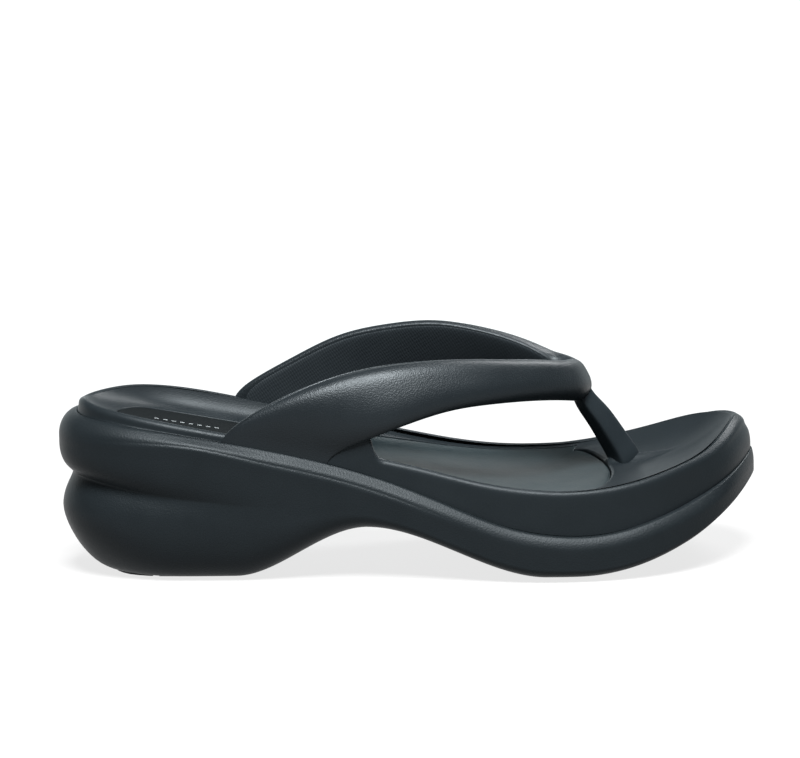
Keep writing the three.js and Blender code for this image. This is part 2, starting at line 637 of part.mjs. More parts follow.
function postBody(grow) {
  const step = 1 / (POST_PATH.length - 1);
  const [x, y, z, deep, wide] = [0, 1, 2, 3, 4].map((column) =>
    spline(POST_PATH.map((row, k) => [k * step, row[column]])),
  );
  const centre = (t) => new THREE.Vector3(POST_FOOT_X + x(t) * SOLE_LENGTH, POST_SIDE + y(t), z(t));
  const sections = [];
  for (let k = 0; k <= POST_SECTIONS; k++) {
    const t = k / POST_SECTIONS;
    const down = centre(t + 0.01).sub(centre(t - 0.01)).normalize();
    const ahead = new THREE.Vector3(0, 1, 0).cross(down).negate();
    const section = [];
    for (let i = 0; i < SECTION_POINTS; i++) {
      const angle = (2 * Math.PI * i) / SECTION_POINTS;
      const [c, s] = [Math.cos(angle), Math.sin(angle)];
      const a = Math.sign(c) * Math.abs(c) ** (2 / POST_FULLNESS) * (deep(t) + grow);
      const b = Math.sign(s) * Math.abs(s) ** (2 / POST_FULLNESS) * (wide(t) + grow);
      const p = centre(t).addScaledVector(ahead, a);
      p.y += b;
      if (k === 0) p.addScaledVector(down, -grow);
      section.push(p);
    }
    sections.push(section);
  }
  return tube(sections);
}

const STEM_X = POST_FOOT_X - 0.5;
const STEM_Y = POST_SIDE + 1;
const WASHER_TOP = seamZ(STEM_X) + 2.6;
const BUTTON_TOP = WASHER_TOP - WASHER_THICK - CLEARANCE;
const BUTTON_FOOT = BUTTON_TOP - BUTTON_THICK;

// An upright round bar, disc or ring on the stem's axis.
function turned(profile) {
  const made = new THREE.LatheGeometry(profile.map(([r, z]) => new THREE.Vector2(r, z)), 32);
  made.rotateX(Math.PI / 2);
  made.translate(STEM_X, STEM_Y, 0);
  return made;
}

function stemSolid(grow) {
  const top = bedZ(STEM_X) + 4;
  const stem = [[0, BUTTON_TOP - 0.5], [STEM_RADIUS + grow, BUTTON_TOP - 0.5], [STEM_RADIUS + grow, top], [0, top]];
  return solid(turned(stem));
}

function buttonSolid() {
  const edge = 0.6;
  return solid(turned([
    [0, BUTTON_FOOT], [BUTTON_RADIUS - edge, BUTTON_FOOT], [BUTTON_RADIUS, BUTTON_FOOT + edge],
    [BUTTON_RADIUS, BUTTON_TOP], [0, BUTTON_TOP],
  ]));
}

function washerGeometry() {
  const hole = STEM_RADIUS + CLEARANCE;
  const foot = WASHER_TOP - WASHER_THICK;
  return turned([
    [hole, foot], [WASHER_RADIUS, foot], [WASHER_RADIUS, WASHER_TOP], [hole, WASHER_TOP], [hole, foot],
  ]);
}

// The round pocket that holds the washer and the button, in the tray above the seam and the wedge below it.
function anchorPocket() {
  const radius = Math.max(WASHER_RADIUS, BUTTON_RADIUS) + CLEARANCE;
  const [foot, top] = [BUTTON_FOOT - CLEARANCE, WASHER_TOP + CLEARANCE];
  return solid(turned([[0, foot], [radius, foot], [radius, top], [0, top]]));
}

// ---- Putting it together ----
const FOAM = { color: 0x24292c, roughness: 0.55, metalness: 0 };
const GRAINED_FOAM = { color: 0x23282b, roughness: 0.6, metalness: 0 };
const LINING_CLOTH = { color: 0x1c2023, roughness: 0.85, metalness: 0 };
const TREAD_RUBBER = { color: 0x1b1d1f, roughness: 0.7, metalness: 0 };
const WASHER_PLASTIC = { color: 0x2e3235, roughness: 0.4, metalness: 0 };

const shoe = new THREE.Group();
function add(name, geometry, finish) {
  const mesh = new THREE.Mesh(geometry, new THREE.MeshStandardMaterial(finish));
  mesh.geometry.computeVertexNormals();
  mesh.name = name;
  shoe.add(mesh);
}

const postSlot = solid(postBody(CLEARANCE)).add(stemSolid(CLEARANCE));
const bandSlots = [solid(bandBody(LITTLE_TOE_BAND, -1, CLEARANCE)), solid(bandBody(BIG_TOE_BAND, 1, CLEARANCE))];

const wedge = solid(wedgeBody())
  .subtract(bandSlots[0])
  .subtract(bandSlots[1])
  .subtract(anchorPocket())
  .subtract(solid(treadBody(HEEL_TREAD, CLEARANCE)))
  .subtract(solid(treadBody(BALL_TREAD, CLEARANCE)));
const tray = solid(trayBody())
  .subtract(bandSlots[0])
  .subtract(bandSlots[1])
  .subtract(anchorPocket())
  .subtract(postSlot);

function band(rows, side) {
  return solid(bandBody(rows, side, 0)).subtract(postSlot).subtract(solid(liningBody(rows, side, CLEARANCE)));
}

add("wedge_sole", geometryOf(wedge), FOAM);
add("footbed_tray", geometryOf(tray), FOAM);
add("insole", insoleBody(), FOAM);
add("heel_tread", geometryOf(tread(HEEL_TREAD)), TREAD_RUBBER);
add("ball_tread", geometryOf(tread(BALL_TREAD)), TREAD_RUBBER);
add("little_toe_side_band", geometryOf(band(LITTLE_TOE_BAND, -1)), GRAINED_FOAM);
add("big_toe_side_band", geometryOf(band(BIG_TOE_BAND, 1)), GRAINED_FOAM);
add("little_toe_side_lining", liningBody(LITTLE_TOE_BAND, -1, 0), LINING_CLOTH);
add("big_toe_side_lining", liningBody(BIG_TOE_BAND, 1, 0), LINING_CLOTH);
add("toe_post", geometryOf(solid(postBody(0)).add(stemSolid(0)).add(buttonSolid())), GRAINED_FOAM);
add("toe_post_washer", washerGeometry(), WASHER_PLASTIC);

const box = new THREE.Box3().setFromObject(shoe);
const middle = box.getCenter(new THREE.Vector3());
shoe.position.set(-middle.x, -middle.y, -box.min.z);

export default shoe;
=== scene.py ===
import math

import bmesh
import bpy
import numpy as np
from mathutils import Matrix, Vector


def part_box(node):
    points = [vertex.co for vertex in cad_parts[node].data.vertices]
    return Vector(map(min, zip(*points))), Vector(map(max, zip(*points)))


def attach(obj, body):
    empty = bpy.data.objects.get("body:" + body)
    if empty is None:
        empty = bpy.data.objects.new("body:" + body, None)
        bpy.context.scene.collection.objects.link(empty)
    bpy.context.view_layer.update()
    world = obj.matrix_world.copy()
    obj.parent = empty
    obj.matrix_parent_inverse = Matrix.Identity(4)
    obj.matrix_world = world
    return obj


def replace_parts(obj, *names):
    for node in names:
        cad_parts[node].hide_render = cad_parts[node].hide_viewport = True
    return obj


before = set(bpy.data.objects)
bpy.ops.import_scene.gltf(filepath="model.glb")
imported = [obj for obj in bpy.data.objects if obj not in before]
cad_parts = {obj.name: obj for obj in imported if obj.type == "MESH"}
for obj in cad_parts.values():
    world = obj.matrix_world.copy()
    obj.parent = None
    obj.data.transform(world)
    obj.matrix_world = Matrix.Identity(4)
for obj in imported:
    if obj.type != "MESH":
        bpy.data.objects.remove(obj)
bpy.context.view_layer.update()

# ---- Wedge ----
# The lower half of the sole: one block of moulded foam, with two fat rolls round the heel, an arched waist
# and a raised toe. A bead runs along its top edge and ends in a shallow groove over a thin lip. The tray is
# glued on inside the bead.

wedge_low, wedge_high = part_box("wedge_sole")
MM = 0.001
length = (wedge_high.x - wedge_low.x) / MM
width = (wedge_high.y - wedge_low.y) / MM
RING_POINTS = 360
RING_STEPS = 3
# Points of a closed curve that are repeated past each end, so that it closes smoothly.
WRAP = 4
FINE_STEPS = 4000
# A short step along a curve, to find its direction.
NUDGE = 0.01
# Shares of the length and width, from the back of the heel along the little toe side to the tip and back.
OUTLINE = np.array([
    (0, 0), (0.018, -0.19), (0.07, -0.31), (0.15, -0.37), (0.27, -0.392), (0.4, -0.405), (0.52, -0.447),
    (0.63, -0.494), (0.73, -0.51), (0.83, -0.464), (0.91, -0.345), (0.965, -0.185), (0.995, 0),
    (1, 0.11), (0.98, 0.26), (0.925, 0.388), (0.83, 0.468), (0.72, 0.49), (0.61, 0.467), (0.5, 0.415),
    (0.38, 0.372), (0.27, 0.362), (0.15, 0.358), (0.07, 0.3), (0.018, 0.18),
])
# The row of the outline at the tip of the toe.
TIP = 13


def spline(points):
    """A natural cubic curve through (at, value) pairs, straight beyond its ends."""
    x, y = np.array(points, float).T
    gap, rise = np.diff(x), np.diff(y) / np.diff(x)
    system = np.eye(len(x))
    turn = np.zeros(len(x))
    for i in range(1, len(x) - 1):
        system[i, i - 1:i + 2] = gap[i - 1], 2 * (gap[i - 1] + gap[i]), gap[i]
        turn[i] = 6 * (rise[i] - rise[i - 1])
    bend = np.linalg.solve(system, turn)
    first = rise[0] - gap[0] * bend[1] / 6
    last = rise[-1] + gap[-1] * bend[-2] / 6

    def value(t):
        t = np.asarray(t, float)
        inside = np.clip(t, x[0], x[-1])
        i = np.clip(np.searchsorted(x, inside) - 1, 0, len(gap) - 1)
        a, b = (x[i + 1] - inside) / gap[i], (inside - x[i]) / gap[i]
        curve = ((a ** 3 - a) * bend[i] + (b ** 3 - b) * bend[i + 1]) * gap[i] ** 2 / 6
        beyond = first * np.minimum(t - x[0], 0) + last * np.maximum(t - x[-1], 0)
        return a * y[i] + b * y[i + 1] + curve + beyond

    return value


def smooth(t):
    """A step from 0 to 1 that starts and ends softly."""
    t = np.clip(t, 0, 1)
    return t * t * (3 - 2 * t)


def mix(a, b, t):
    """What lies at share t of the way from a to b."""
    return a + (b - a) * t


def sole_outline():
    """Points round the sole at even steps on each side, each with its outward direction."""
    knots = np.arange(-WRAP, len(OUTLINE) + WRAP + 1)
    wrapped = OUTLINE[knots % len(OUTLINE)] * (length, width)
    curve_x = spline(np.column_stack([knots, wrapped[:, 0]]))
    curve_y = spline(np.column_stack([knots, wrapped[:, 1]]))
    places = []
    for start, end in ((0, TIP), (TIP, len(OUTLINE))):
        fine = np.linspace(start, end, FINE_STEPS)
        steps = np.hypot(np.diff(curve_x(fine)), np.diff(curve_y(fine)))
        run = np.concatenate([[0], np.cumsum(steps)])
        even = np.linspace(0, run[-1], RING_POINTS // 2 + 1)[:-1]
        places.append(np.interp(even, run, fine))
    t = np.concatenate(places)
    ahead_x = curve_x(t + NUDGE) - curve_x(t - NUDGE)
    ahead_y = curve_y(t + NUDGE) - curve_y(t - NUDGE)
    ahead = np.column_stack([ahead_x, ahead_y])
    ahead /= np.linalg.norm(ahead, axis=1, keepdims=True)
    return np.column_stack([curve_x(t), curve_y(t)]), np.column_stack([ahead[:, 1], -ahead[:, 0]])


edge, outward = sole_outline()
edge_x = edge[:, 0]
share = edge_x / length
origin = Vector((wedge_low.x, wedge_low.y - edge[:, 1].min() * MM, 0))
SPINE_START, SPINE_END = 0.115, 0.735
facing = np.roll(share[::-1], 1)
spine_x = mix(SPINE_START, SPINE_END, (share + facing) / 2) * length
spine = np.column_stack([spine_x, np.zeros(RING_POINTS)])
reach = np.linalg.norm(edge - spine, axis=1)


def along(points):
    """A curve whose stations are shares of the sole's length, read at an x in millimetres."""
    curve = spline(points)
    return lambda x: curve(x / length)


def side_edge(x, side):
    """The outline's y at x, on the little toe side (-1) or the big toe side (1)."""
    half = RING_POINTS // 2
    run = edge[:half + 1] if side < 0 else np.vstack([edge[half:], edge[:1]])[::-1]
    return np.interp(x, run[:, 0], run[:, 1])


seam_z = along([
    (0, 60.5), (0.055, 59.4), (0.14, 56.6), (0.245, 52), (0.35, 46.1), (0.46, 37.8), (0.56, 27.6),
    (0.63, 20.7), (0.7, 17.1), (0.77, 16.9), (0.86, 21.9), (0.945, 30.3), (1, 38.6),
])
LEDGE, HEEL_LEDGE, TOE_LEDGE = 4.5, 7.2, 1.4
BEAD = 5.3
HEEL_ROUND = 9.1
LIP_DROP, HEEL_LIP_DROP = 1.3, 3
# How far down the groove between the rolls lies, as a share of the way from the lip to the wedge's foot.
GROOVE_AT, HEEL_GROOVE_AT = 0.357, 0.302
# Shares of the length: where the heel's shapes have faded out, and where the toe's begin.
HEEL_END, HEEL_ROUND_END, ROLL_END, TOE_START = 0.17, 0.2, 0.34, 0.9
JOINT_DIP, JOINT_DIP_START, JOINT_DIP_RUN = 8, 0.22, 0.3
ARCH_HEIGHT, TOE_SPRING, TOE_UNDERCUT = 18.3, 26.3, 6
ARCH_START, ARCH_PEAK, ARCH_END, ROCKER_START = 0.252, 0.439, 0.69, 0.735
# The treads stand proud of the wedge by this much.
FOOT_LIFT = 0.8


def under_z(x):
    """The underside: level under the heel and the ball, arched between them, and rising to the toe."""
    s = x / length
    rise = smooth((s - ARCH_START) / (ARCH_PEAK - ARCH_START))
    fall = smooth((s - ARCH_PEAK) / (ARCH_END - ARCH_PEAK))
    rocker = np.maximum(0, s - ROCKER_START) / (1 - ROCKER_START)
    return ARCH_HEIGHT * (rise - fall) + TOE_SPRING * rocker ** 2


heel_share = 1 - smooth(share / HEEL_END)
toe_share = smooth((share - TOE_START) / (1 - TOE_START))
roll_share = 1 - smooth(share / ROLL_END)
ledge = LEDGE + (HEEL_LEDGE - LEDGE) * heel_share + (TOE_LEDGE - LEDGE) * toe_share
joint_edge = edge - outward * ledge[:, None]


def set_in(inset, z):
    """A ring set in from the outline, square to it."""
    points = edge - outward * (np.ones(RING_POINTS) * inset)[:, None]
    return np.column_stack([points, np.ones(RING_POINTS) * z])


def joint_ring(f, lift=0):
    """The glued joint between wedge and tray, at share f of the way out."""
    points = mix(spine, joint_edge, f)
    dip = JOINT_DIP * (1 - smooth((points[:, 0] / length - JOINT_DIP_START) / JOINT_DIP_RUN))
    return np.column_stack([points, seam_z(points[:, 0]) - dip * (1 - f ** 3) + lift])


def refined(rings, steps):
    """More rings between the given ones, on smooth curves that don't overshoot."""
    p = np.array(rings, float)
    gap = np.sqrt(np.linalg.norm(np.diff(p, axis=0), axis=2, keepdims=True)) + 1e-6
    slope = np.diff(p, axis=0) / gap
    inner = (slope[:-1] * gap[1:] + slope[1:] * gap[:-1]) / (gap[1:] + gap[:-1])
    tangent = np.concatenate([slope[:1], inner, slope[-1:]])
    between = []
    for t in np.arange(steps) / steps:
        held = (2 * t ** 3 - 3 * t ** 2 + 1) * p[:-1] + (3 * t ** 2 - 2 * t ** 3) * p[1:]
        pulled = (t ** 3 - 2 * t ** 2 + t) * gap * tangent[:-1] + (t ** 3 - t ** 2) * gap * tangent[1:]
        between.append(held + pulled)
    fine = np.stack(between, axis=1).reshape(-1, *p.shape[1:])
    return np.concatenate([fine, p[-1:]])


def lofted(name, rings, body="root"):
    """A closed piece through rings of equal length. Points that fall together become one."""
    rings = np.array(rings)
    rows, count = rings.shape[:2]
    places = [Vector(p) * MM + origin for p in rings.reshape(-1, 3)]
    faces = []
    for k in range(rows - 1):
        for i in range(count):
            j = (i + 1) % count
            faces.append((k * count + i, (k + 1) * count + i, (k + 1) * count + j, k * count + j))
    mesh = bpy.data.meshes.new(name)
    work = bmesh.new()
    corners = [work.verts.new(p) for p in places]
    for face in faces:
        work.faces.new([corners[i] for i in face])
    for end in (corners[:count], corners[-count:]):
        if len({tuple(round(c, 7) for c in v.co) for v in end}) == count:
            work.faces.new(end)
    bmesh.ops.remove_doubles(work, verts=work.verts, dist=1e-6)
    bmesh.ops.recalc_face_normals(work, faces=work.faces)
    work.to_mesh(mesh)
    work.free()
    mesh.shade_smooth()
    piece = bpy.data.objects.new(name, mesh)
    bpy.context.scene.collection.objects.link(piece)
    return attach(piece, body)


corner_z = seam_z(edge_x)
bead_z = corner_z - BEAD
foot_z = under_z(edge_x) + FOOT_LIFT
groove_z = mix(bead_z - LIP_DROP, foot_z, mix(GROOVE_AT, HEEL_GROOVE_AT, heel_share))
heel_round = 1 - smooth(share / HEEL_ROUND_END)
lip_z = bead_z - LIP_DROP - HEEL_LIP_DROP * heel_round
wedge_rings = [joint_ring(f) for f in (0, 0.45, 0.8, 0.96, 0.995)]
# The bead along the arch, then at the toe: how far it is set in, as a share of the ledge, and how far it lies
# below the seam. At the heel it is a fat round roll instead.
BEAD_PROFILE = (
    (0.95, 0, 0.95, 0), (0.86, 0.03, 0.62, 0.04), (0.8, 0.15, 0.53, 0.2), (0.62, 1.05, 0.37, 1),
    (0.44, 1.95, 0.245, 1.8), (0.27, 2.85, 0.145, 2.6), (0.18, 3.6, 0.07, 3.4), (0.13, 4.3, 0.03, 4),
    (0.07, 4.8, 0.012, 4.5), (0.03, 5.3, 0.004, 5), (0.005, 5.9, 0, 5.5),
)
# The toe's form of the bead fades in past the arch, and the arch's form is shallower towards the heel.
TOE_BEAD_START, TOE_BEAD_RUN = 0.46, 0.15
SMALL_BEAD, SMALL_BEAD_END, SMALL_BEAD_RUN = 0.7, 0.2, 0.12
toe_round = smooth((share - TOE_BEAD_START) / TOE_BEAD_RUN)
bead_scale = mix(SMALL_BEAD, 1, smooth((share - SMALL_BEAD_END) / SMALL_BEAD_RUN))
for arch_set, arch_down, toe_set, toe_down in BEAD_PROFILE:
    heel_down = HEEL_ROUND * (1 - math.sqrt(1 - (1 - toe_set) ** 2))
    down = mix(mix(arch_down * bead_scale, toe_down, toe_round), heel_down, heel_round)
    set_back = mix(arch_set, toe_set, np.maximum(heel_round, toe_round))
    wedge_rings.append(set_in(set_back * ledge, corner_z - down))
# The upper roll under the lip: share of the way down to the groove, and how far it is set in at the back.
UPPER_ROLL = ((0.1, 0), (0.3, 0), (0.56, 0.6), (0.74, 1.7), (0.88, 3.3), (0.97, 4.55), (1, 4.85))
for down, back in UPPER_ROLL:
    wedge_rings.append(set_in(back * roll_share, mix(lip_z, groove_z, down)))
# The lower roll: share of the way down, then how far it is set in at the back and along the sides.
LOWER_ROLL = (
    (0.03, 4.65, 0), (0.08, 3.9, 0), (0.15, 2.6, 0), (0.24, 1.3, 0), (0.36, 0.6, 0), (0.5, 1.6, 0.3),
    (0.68, 4.6, 1.3), (0.83, 8.4, 3.2), (0.94, 12.6, 6), (1, 17, 9.5),
)
ROLL_WIDEST = 0.4
for down, back, side in LOWER_ROLL:
    rolled = roll_share if down < ROLL_WIDEST else heel_share
    undercut = TOE_UNDERCUT * toe_share * down ** 2
    wedge_rings.append(set_in(mix(side, back, rolled) + undercut, mix(groove_z, foot_z, down)))
under_edge = wedge_rings[-1][:, :2]
for f in (0.94, 0.8, 0.5, 0.25, 0):
    flat = mix(spine, under_edge, f)
    wedge_rings.append(np.column_stack([flat, under_z(flat[:, 0]) + FOOT_LIFT]))
wedge = lofted("wedge", refined(wedge_rings, RING_STEPS))


class Shade:
    """A node's output that takes part in arithmetic, and makes any other node in its tree."""

    def __init__(self, tree, socket=None):
        self.tree = tree
        self.socket = socket

    def node(self, kind, settings=None, inputs=None, output=0):
        """A new node: its settings are made first, then its sockets are linked or filled in."""
        made = self.tree.nodes.new(kind)
        for key, value in (settings or {}).items():
            setattr(made, key, value)
        for key, value in (inputs or {}).items():
            if isinstance(value, Shade):
                self.tree.links.new(value.socket, made.inputs[key])
            else:
                made.inputs[key].default_value = value
        return Shade(self.tree, made.outputs[output])

    def maths(self, operation, *values):
        return self.node("ShaderNodeMath", {"operation": operation}, dict(enumerate(values)))

    def __add__(self, other):
        return self.maths("ADD", self, other)

    def __mul__(self, other):
        return self.maths("MULTIPLY", self, other)

    def __sub__(self, other):
        return self.maths("SUBTRACT", self, other)

    def __rsub__(self, other):
        return self.maths("SUBTRACT", other, self)

    __radd__ = __add__
    __rmul__ = __mul__


# The Mix node's colour sockets go by number, because their names repeat.
MIX_FACTOR, MIX_LOW, MIX_HIGH, MIX_RESULT = 0, 6, 7, 2


def blended(shade, low, high, factor):
    """A colour between two colours."""
    ends = {MIX_FACTOR: factor, MIX_LOW: (*low, 1), MIX_HIGH: (*high, 1)}
    return shade.node("ShaderNodeMix", {"data_type": "RGBA"}, ends, output=MIX_RESULT)


MOTTLE_SCALE, SMUDGE_SCALE, PORE_SCALE = 34, 120, 2600
# Pointiness of a level face, how fast the edges grow paler and smoother beyond it, and the most they do: part
# wear, part painted sheen.
LEVEL_FACE, WEAR_AND_SHEEN_CONTRAST, MOST_WEAR_AND_SHEEN = 0.515, 6, 0.5
# The places along the sole, in metres, between which a matt heel seat, darkened as painted shade, fades out.
MATT_SHADE_FROM, MATT_SHADE_TO = -0.075, -0.02
SKIN_TINT = (0.87, 0.955, 1, 1)


def foam_material(name, low, high, roughness, grain, grain_size, gloss=0.1, matt_heel_painted_shade=0.0, relief=0.12):
    """Moulded foam: a fine skin grain, faint mottling, and slightly paler, smoother convex edges that are
    part wear and part painted sheen; its heel seat can be made matt and darkened as painted shade.
    """
    material = bpy.data.materials.new(name)
    material.use_nodes = True
    tree = material.node_tree
    skin = tree.nodes["Principled BSDF"]
    shade = Shade(tree)
    place = shade.node("ShaderNodeTexCoord", output="Object")
    mottle = shade.node("ShaderNodeTexNoise", None, {"Vector": place, "Scale": MOTTLE_SCALE, "Detail": 3})
    smudge = shade.node("ShaderNodeTexNoise", None, {"Vector": place, "Scale": SMUDGE_SCALE, "Detail": 2})
    pores = shade.node("ShaderNodeTexNoise", None, {"Vector": place, "Scale": PORE_SCALE, "Detail": 2})
    cells = shade.node(
        "ShaderNodeTexVoronoi", {"feature": "SMOOTH_F1"}, {"Vector": place, "Scale": 1 / (grain_size * MM)}
    )
    # Convex edges turn paler and smoother: partly wear, partly a painted sheen.
    wear_and_sheen = (shade.node("ShaderNodeNewGeometry", output="Pointiness") - LEVEL_FACE) * WEAR_AND_SHEEN_CONTRAST
    wear_and_sheen = shade.maths("MINIMUM", shade.maths("MAXIMUM", wear_and_sheen, 0), MOST_WEAR_AND_SHEEN)
    tone = mottle * 0.7 + smudge * 0.3 + wear_and_sheen * 0.6
    rough = roughness + (mottle - 0.5) * 0.1 + (smudge - 0.5) * 0.08 - wear_and_sheen * 0.1
    if matt_heel_painted_shade:
        ahead = shade.node("ShaderNodeSeparateXYZ", None, {"Vector": place})
        ends = {"Value": ahead, "From Min": MATT_SHADE_FROM, "From Max": MATT_SHADE_TO, "To Min": matt_heel_painted_shade, "To Max": 0}
        seat = shade.node("ShaderNodeMapRange", {"interpolation_type": "SMOOTHSTEP"}, ends)
        # The heel seat is made rougher, and its colour is darkened there as painted shade.
        rough = rough + seat
        tone = tone - seat
    tree.links.new(blended(shade, low, high, tone).socket, skin.inputs["Base Color"])
    tree.links.new(rough.socket, skin.inputs["Roughness"])
    height = cells * grain + pores * (0.35 * grain) + smudge * 0.2
    bump = shade.node("ShaderNodeBump", None, {"Strength": 0.6, "Distance": relief * MM, "Height": height})
    tree.links.new(bump.socket, skin.inputs["Normal"])
    skin.inputs["Specular IOR Level"].default_value = gloss
    skin.inputs["Specular Tint"].default_value = SKIN_TINT
    return material


wedge_skin = foam_material(
    "foam", (0.0043, 0.0059, 0.007), (0.0074, 0.0099, 0.0115),
    roughness=0.45, grain=0.7, grain_size=0.6, relief=0.15,
)
wedge.data.materials.append(wedge_skin)
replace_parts(wedge, "wedge_sole")

# ---- Footbed tray ----
# The upper half of the sole, moulded on its own and glued inside the bead. It has a smooth outer wall, a thin
# rounded rim, a deep heel cup, and a dished toe with a crest behind the toes and a ridge between them.

rim_little = along([
    (0.03, 64.5), (0.07, 63.1), (0.14, 60.2), (0.245, 55.1), (0.35, 50.3), (0.46, 45), (0.53, 40.8),
    (0.6, 36.4), (0.66, 34.1), (0.72, 33.2), (0.78, 33.9), (0.84, 36.1), (0.9, 39.7), (0.95, 44.2),
    (0.985, 49.7),
])
rim_big = along([
    (0.03, 64.5), (0.08, 65), (0.13, 64.2), (0.19, 62), (0.25, 58.8), (0.35, 52.7), (0.49, 43.8),
    (0.56, 39.3), (0.63, 36.3), (0.7, 35.5), (0.77, 36.6), (0.83, 39.3), (0.89, 43.5), (0.95, 48.5),
    (0.985, 50.8),
])
bed_z = along([
    (0.03, 62.4), (0.09, 58.6), (0.14, 55.8), (0.23, 51.4), (0.34, 46.1), (0.45, 40.7), (0.53, 36.6),
    (0.6, 33.2), (0.66, 31.4), (0.73, 30.7), (0.8, 32.4), (0.86, 34.9), (0.92, 39.2), (0.96, 43.1),
    (0.99, 46.7),
])
RIM_WIDTH, RIM_ROUND, RIM_BACK = 3, 3.2, 0.5
INSOLE_THICK, INSOLE_INSET, HEEL_SEAT_INSET, HEEL_CUP, NOSE = 2.2, 12, 17, 5, 12.5
SEAT_END, SEAT_RUN, HEEL_CUP_END = 0.2, 0.3, 0.09
NOSE_SOFTNESS = 0.03
BALL_X = 0.744 * length
POST_X, POST_SIDE = 0.82 * length, 11
CREST, CREST_WIDTH = 0.9, 12
RIDGE, RIDGE_LENGTH, RIDGE_HALF, RIDGE_TAPER = 2.8, 21, 2.7, 0.3
RELIEF_END = 0.8
EAR, EAR_BACK, EAR_FRONT, EAR_BACK_RUN, EAR_FRONT_RUN = 9, 0.37, 0.444, 0.05, 0.018
TOE_BULGE, BULGE_WIDTH, TOE_DEEPER = 1.7, 0.4, 0.4
SEAM_GAP = 0.15
RIM_STEP = 0.35
# Shares of the width over which one side's rim passes into the other's: its height, then its section.
HEIGHT_BLEND, SECTION_BLEND = 0.26, 0.3
TOE_RIM_START, TOE_RIM_RUN = 0.74, 0.14
# The power of the wall's rise to the rim: at the back, beside the heel, and on the far and near sides.
STEEP_BACK, STEEP_HEEL, STEEP_FAR, STEEP_NEAR = 5, 9, 4.5, 11
HEEL_WALL_END, SIDE_WALL_START, SIDE_WALL_RUN = 0.12, 0.25, 0.35

ball_middle = (side_edge(BALL_X, -1) + side_edge(BALL_X, 1)) / 2
ball_half = (side_edge(BALL_X, 1) - side_edge(BALL_X, -1)) / 2 - INSOLE_INSET
rim_inset = ledge + RIM_BACK + (LEDGE - TOE_LEDGE) * toe_share
rim_z = mix(rim_little(edge_x), rim_big(edge_x), smooth(0.5 + edge[:, 1] / (HEIGHT_BLEND * width)))
# Just behind the opening, the rim rises on both sides to meet the bands.
past = np.clip(1 - (share - EAR_FRONT) / EAR_FRONT_RUN, 0, 1)
rim_z = rim_z + EAR * (1 - np.sqrt(1 - past ** 2)) * smooth((share - EAR_BACK) / EAR_BACK_RUN)
near_side = smooth(0.5 - edge[:, 1] / (SECTION_BLEND * width))
toe_rim = smooth((share - TOE_RIM_START) / TOE_RIM_RUN)
rim_at = 1 - (rim_inset + RIM_WIDTH) / reach


def insole_share():
    """How far out along each ray the insole's edge lies: its side, or its round front."""
    inset = mix(HEEL_SEAT_INSET, INSOLE_INSET, smooth((share - SEAT_END) / SEAT_RUN))
    side = 1 - (inset + HEEL_CUP * (1 - smooth(share / HEEL_CUP_END))) / reach
    start_y = np.full(RING_POINTS, -ball_middle / ball_half)
    start = np.column_stack([(spine[:, 0] - BALL_X) / NOSE, start_y])
    step = np.column_stack([(edge_x - spine[:, 0]) / NOSE, edge[:, 1] / ball_half])
    a, b, c = (step ** 2).sum(1), (start * step).sum(1), (start ** 2).sum(1) - 1
    nose = (-b + np.sqrt(np.maximum(0, b * b - a * c))) / a
    ahead = start[:, 0] + nose * step[:, 0]
    soft = NOSE_SOFTNESS * smooth(ahead * 1.5)
    blunted = (side + nose - np.sqrt((side - nose) ** 2 + soft ** 2)) / 2
    return np.where(ahead > 0, blunted, side)


insole_at = insole_share()


def on_ray(f):
    """The points at share f of the way from the spine out to the outline."""
    return mix(spine, edge, (np.ones(RING_POINTS) * f)[:, None])


def bed_height(f):
    """The foot surface: level in the middle, and rising in a wall to the rim."""
    x = on_ray(f)[:, 0]
    behind = mix(STEEP_BACK, STEEP_HEEL, smooth(share / HEEL_WALL_END))
    beside = mix(STEEP_FAR, STEEP_NEAR, near_side)
    steep = mix(behind, beside, smooth((x / length - SIDE_WALL_START) / SIDE_WALL_RUN))
    wall = rim_z - RIM_STEP - bed_z(on_ray(rim_at)[:, 0])
    return bed_z(x) + wall * (f / rim_at) ** steep


def toe_relief(f):
    """The crest in front of the insole, and the ridge that runs forward between the first two toes."""
    x, y = on_ray(f).T
    front = smooth((on_ray(insole_at)[:, 0] - BALL_X) / (0.5 * NOSE))
    inward = 1 - smooth((f / rim_at - RELIEF_END) / (1 - RELIEF_END))
    crest = CREST * (1 - smooth((f - insole_at) * reach / CREST_WIDTH))
    run = (x - POST_X) / RIDGE_LENGTH
    across = (y - POST_SIDE) / (RIDGE_HALF * mix(1, RIDGE_TAPER, smooth(run)))
    ridge = RIDGE * (1 - smooth(run)) * np.exp(-across ** 2) * smooth(run + 1)
    return front * inward * (crest + ridge)


def bed_ring(f, lift=0):
    """A ring of the foot surface, or one lifted off it."""
    return np.column_stack([on_ray(f), bed_height(f) + lift])


tray_rings = [bed_ring(f * insole_at, -INSOLE_THICK) for f in (0, 0.3, 0.6, 0.9, 0.995)]
# The recess's wall leans out a little, from its rounded corner to its rounded brink.
CORNER_OUT, CORNER_LIFT = 0.1, 0.2
BRINK_OUT, BRINK_DROP, BRINK_ROUND = 0.15, 0.6, 0.35
tray_rings.append(bed_ring(insole_at + CORNER_OUT / reach, CORNER_LIFT - INSOLE_THICK))
tray_rings.append(bed_ring(insole_at + BRINK_OUT / reach, toe_relief(insole_at) - BRINK_DROP))
# Shares of the way from the insole's edge to the rim.
BED_PLACES = (
    0.012, 0.035, 0.08, 0.14, 0.2, 0.28, 0.36, 0.44, 0.52, 0.6, 0.68, 0.76, 0.83, 0.89, 0.94, 0.975, 0.993,
)
for f in BED_PLACES:
    at = mix(insole_at, rim_at, f)
    drop = BRINK_ROUND if f == BED_PLACES[0] else 0
    tray_rings.append(bed_ring(at, toe_relief(at) - drop))
